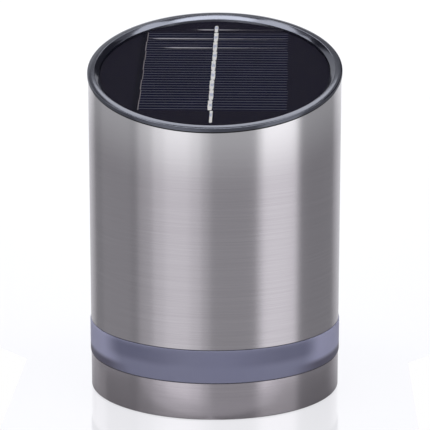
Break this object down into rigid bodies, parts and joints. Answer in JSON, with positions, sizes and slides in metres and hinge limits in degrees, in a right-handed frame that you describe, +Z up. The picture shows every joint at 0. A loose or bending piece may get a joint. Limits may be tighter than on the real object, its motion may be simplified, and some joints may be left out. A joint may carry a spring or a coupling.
{
  "type": "solar wall light",
  "caption": "Steel cylinder lamp with a slanted solar panel on top, a frosted light ring above the foot, a battery door below and a lift-off wall bracket behind.",
  "frame": {"origin": "middle of the underside, on the axis of the cylinder", "axes": "+Z up along the cylinder; +Y towards the wall, square to the bracket's plate; -Y is the front, the low side of the slanted top"},
  "size_m": [0.1108, 0.1219, 0.1581],
  "materials": {
    "brushed_steel": "fine horizontal brushing",
    "bezel_plastic": "glossy dark grey",
    "frosted_plastic": "frosted, lets light through",
    "seal_rubber": "matt black rubber",
    "solar_cell": "dark blue silicon",
    "tinned_ribbon": "bright tinned copper",
    "clear_resin": "clear, slightly satin",
    "panel_board": "black laminate",
    "foam_adhesive": "matt foam",
    "housing_plastic": "matt black, fine grain",
    "plated_steel": "bright zinc plate",
    "white_plastic": "white, satin",
    "strip_film": "white flexible board",
    "led_phosphor": "yellow phosphor in a white case",
    "green_board": "green solder mask",
    "black_component": "moulded black",
    "cell_sleeve": "green sleeve on a steel can",
    "nickel_contact": "nickel plate",
    "door_plastic": "matt black, fine grain",
    "lock_plastic": "grey, satin",
    "knob_plastic": "light grey, ribbed",
    "wire_sheath": "red and black sheath",
    "mount_plastic": "matt black",
    "bracket_steel": "satin steel sheet"
  },
  "bodies": {
    "wall_bracket": {"wall_bracket": "bracket_steel", "lock_screw": "plated_steel"},
    "battery_door": {"battery_door": "door_plastic"},
    "door_lock": {"door_lock": "lock_plastic"},
    "switch_knob": {"switch_knob": "knob_plastic"},
    "lamp": {"main_tube": "brushed_steel", "base_band": "brushed_steel", "light_ring": "frosted_plastic", "lower_ring_seal": "seal_rubber", "upper_ring_seal": "seal_rubber", "top_bezel": "bezel_plastic", "bezel_seal": "seal_rubber", "solar_cells": "solar_cell", "cell_ribbons": "tinned_ribbon", "lead_ribbons": "tinned_ribbon", "panel_resin": "clear_resin", "panel_backing": "panel_board", "panel_adhesive": "foam_adhesive", "wire_grommet": "seal_rubber", "base_housing": "housing_plastic", "housing_cover": "housing_plastic", "cover_screws": "plated_steel", "tie_rods": "plated_steel", "reflector": "white_plastic", "led_strip": "strip_film", "leds": "led_phosphor", "control_board": "green_board", "board_parts": "black_component", "board_screws": "plated_steel", "battery_cells": "cell_sleeve", "contact_plates": "nickel_contact", "contact_springs": "nickel_contact", "door_seal": "seal_rubber", "hinge_pins": "plated_steel", "lock_spring_bar": "plated_steel", "switch_body": "black_component", "panel_wires": "wire_sheath", "battery_wires": "wire_sheath", "led_wires": "wire_sheath", "mount_gasket": "seal_rubber", "mount_block": "mount_plastic", "mount_screws": "plated_steel"}
  },
  "joints": [
    {"name": "lamp_lift", "type": "slide", "parent": "wall_bracket", "child": "lamp", "axis": [0, 0, 1], "range_m": [0, 0.036]},
    {"name": "door_hinge", "type": "hinge", "parent": "lamp", "child": "battery_door", "pos_m": [0, -0.003, 0.0016], "axis": [1, 0, 0], "range_deg": [0, 90]},
    {"name": "lock_turn", "type": "hinge", "parent": "battery_door", "child": "door_lock", "pos_m": [0, -0.0355, 0.003], "axis": [0, 0, 1], "range_deg": [0, 90]},
    {"name": "switch_slide", "type": "slide", "parent": "lamp", "child": "switch_knob", "axis": [1, 0, 0], "range_m": [0, 0.003]}
  ]
}
